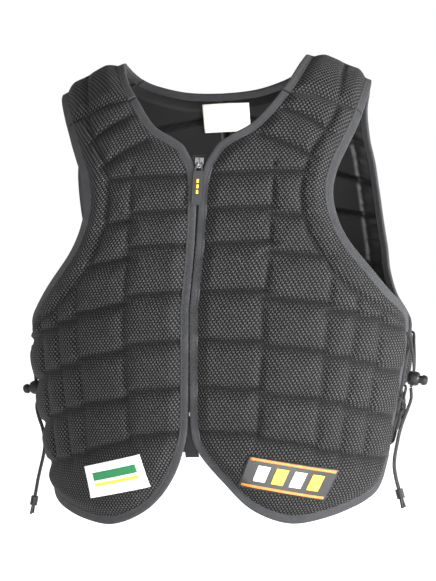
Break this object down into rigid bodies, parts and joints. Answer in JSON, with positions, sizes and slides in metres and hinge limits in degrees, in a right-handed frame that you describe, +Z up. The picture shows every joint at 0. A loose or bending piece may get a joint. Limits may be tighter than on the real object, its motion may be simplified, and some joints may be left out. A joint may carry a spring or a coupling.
{
  "type": "equestrian body protector",
  "caption": "Sleeveless padded vest for riders with a centre-front zip, quilted foam blocks, bound edges and laced sides with cord locks, held in its worn form",
  "frame": {"origin": "midway between the shoulders, just under the crest that rests on them, where the vest is carried", "axes": "+Z up, the front faces -Y, the wearer's left side is +X"},
  "size_m": [0.4577, 0.2474, 0.5158],
  "materials": {
    "spacer_mesh": "knitted spacer mesh over foam blocks",
    "binding": "grey twill binding",
    "black_tape": "woven black tape",
    "cord": "braided black cord",
    "white_cloth": "white woven cloth",
    "black_badge": "black badge with coloured bars",
    "black_plastic": "black moulded plastic",
    "metal": "nickel-plated metal"
  },
  "bodies": {
    "vest": {"front_panel_left": "spacer_mesh", "shoulder_yoke_left": "spacer_mesh", "front_panel_right": "spacer_mesh", "shoulder_yoke_right": "spacer_mesh", "back_panel": "spacer_mesh", "front_binding_left": "binding", "yoke_neck_binding_left": "binding", "yoke_arm_binding_left": "binding", "front_binding_right": "binding", "yoke_neck_binding_right": "binding", "yoke_arm_binding_right": "binding", "back_neck_binding": "binding", "back_edge_binding": "binding", "zip_tape_left": "black_tape", "zip_tape_right": "black_tape", "zip_chain": "black_plastic", "zip_bottom_stop": "metal", "zip_guard": "black_tape", "zip_slider": "metal", "side_lace_left": "cord", "cord_lock_body_left": "black_plastic", "hanging_cord_front_left": "cord", "hanging_cord_back_left": "cord", "cord_end_left": "black_plastic", "side_lace_right": "cord", "cord_lock_body_right": "black_plastic", "hanging_cord_front_right": "cord", "hanging_cord_back_right": "cord", "cord_end_right": "black_plastic", "care_label": "white_cloth", "hem_badge_right": "white_cloth", "hem_badge_left": "black_badge"},
    "pull": {"zip_pull": "black_plastic"},
    "plunger_left": {"cord_lock_plunger_left": "black_plastic"},
    "plunger_right": {"cord_lock_plunger_right": "black_plastic"}
  },
  "joints": [
    {"name": "zip_pull_swing", "type": "hinge", "parent": "vest", "child": "pull", "pos_m": [-0.00717, -0.11209, -0.09876], "axis": [0.9984, 0.0412, 0.04], "range_deg": [-140, 0]},
    {"name": "plunger_slide_left", "type": "slide", "parent": "vest", "child": "plunger_left", "axis": [0.9804, -0.1086, -0.1645], "range_m": [-0.003, 0], "stiffness_N_per_m": 200},
    {"name": "plunger_slide_right", "type": "slide", "parent": "vest", "child": "plunger_right", "axis": [-0.9858, 0.0179, -0.1667], "range_m": [-0.003, 0], "stiffness_N_per_m": 200}
  ]
}
